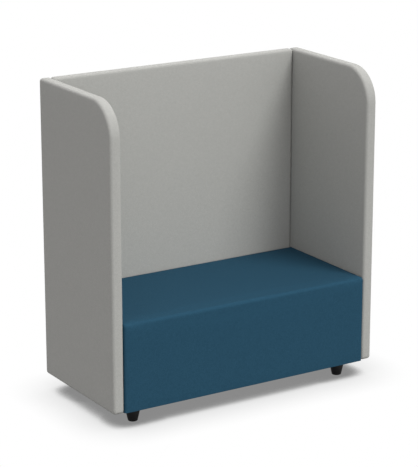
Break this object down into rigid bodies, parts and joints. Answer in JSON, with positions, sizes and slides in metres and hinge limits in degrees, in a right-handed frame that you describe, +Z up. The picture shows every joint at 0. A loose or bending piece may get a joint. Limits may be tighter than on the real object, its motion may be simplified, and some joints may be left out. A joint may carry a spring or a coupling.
{
  "type": "acoustic high-back bench",
  "caption": "High-back acoustic bench: tall grey upholstered side and back panels enclose a blue box seat on tapered black feet, for sitting apart from noise in an office.",
  "frame": {"origin": "on the floor, under the middle of the bench's overall width and depth", "axes": "+X along the bench to the sitter's left, as seen from the front to the right; +Y to the rear; +Z up"},
  "size_m": [1.3, 0.605, 1.37],
  "materials": {
    "grey_fabric": "light grey woven upholstery fabric, matt",
    "blue_fabric": "dark petrol blue woven upholstery fabric, matt",
    "foam": "open-cell upholstery foam",
    "panel_board": "raw particle board",
    "frame_board": "raw plywood",
    "black_plastic": "black moulded plastic, satin",
    "zinc_steel": "zinc-plated steel",
    "black_nonwoven": "black spunbond dust cover"
  },
  "bodies": {
    "bench": {"left_panel_core": "panel_board", "left_panel_outer_foam": "foam", "left_panel_inner_foam": "foam", "left_panel_edge_strip": "foam", "left_panel_cover": "grey_fabric", "left_panel_bolts": "zinc_steel", "left_panel_nut_bars": "zinc_steel", "left_hook_plates": "zinc_steel", "left_slot_plates": "zinc_steel", "seat_left_end": "frame_board", "seat_left_rib": "frame_board", "right_panel_core": "panel_board", "right_panel_outer_foam": "foam", "right_panel_inner_foam": "foam", "right_panel_edge_strip": "foam", "right_panel_cover": "grey_fabric", "right_panel_bolts": "zinc_steel", "right_panel_nut_bars": "zinc_steel", "right_hook_plates": "zinc_steel", "right_slot_plates": "zinc_steel", "seat_right_end": "frame_board", "seat_right_rib": "frame_board", "back_panel_core": "panel_board", "back_panel_front_foam": "foam", "back_panel_rear_foam": "foam", "back_panel_edge_strip": "foam", "back_panel_cover": "grey_fabric", "back_panel_bolts": "zinc_steel", "back_panel_nut_bars": "zinc_steel", "seat_front_rail": "frame_board", "seat_rear_rail": "frame_board", "seat_deck": "frame_board", "seat_front_padding": "foam", "seat_foam": "foam", "seat_cover": "blue_fabric", "dust_cover": "black_nonwoven", "foot_nut_plates": "zinc_steel", "corner_block_front_left": "frame_board", "corner_block_front_right": "frame_board", "corner_block_rear_left": "frame_board", "corner_block_rear_right": "frame_board"},
    "levelling_foot_front_left": {"foot_front_left": "black_plastic", "foot_stud_front_left": "zinc_steel"},
    "levelling_foot_front_right": {"foot_front_right": "black_plastic", "foot_stud_front_right": "zinc_steel"},
    "levelling_foot_rear_left": {"foot_rear_left": "black_plastic", "foot_stud_rear_left": "zinc_steel"},
    "levelling_foot_rear_right": {"foot_rear_right": "black_plastic", "foot_stud_rear_right": "zinc_steel"}
  },
  "joints": [
    {"name": "foot_level_front_left", "type": "slide", "parent": "bench", "child": "levelling_foot_front_left", "axis": [0, 0, -1], "range_m": [0, 0.008]},
    {"name": "foot_level_front_right", "type": "slide", "parent": "bench", "child": "levelling_foot_front_right", "axis": [0, 0, -1], "range_m": [0, 0.008]},
    {"name": "foot_level_rear_left", "type": "slide", "parent": "bench", "child": "levelling_foot_rear_left", "axis": [0, 0, -1], "range_m": [0, 0.008]},
    {"name": "foot_level_rear_right", "type": "slide", "parent": "bench", "child": "levelling_foot_rear_right", "axis": [0, 0, -1], "range_m": [0, 0.008]}
  ]
}
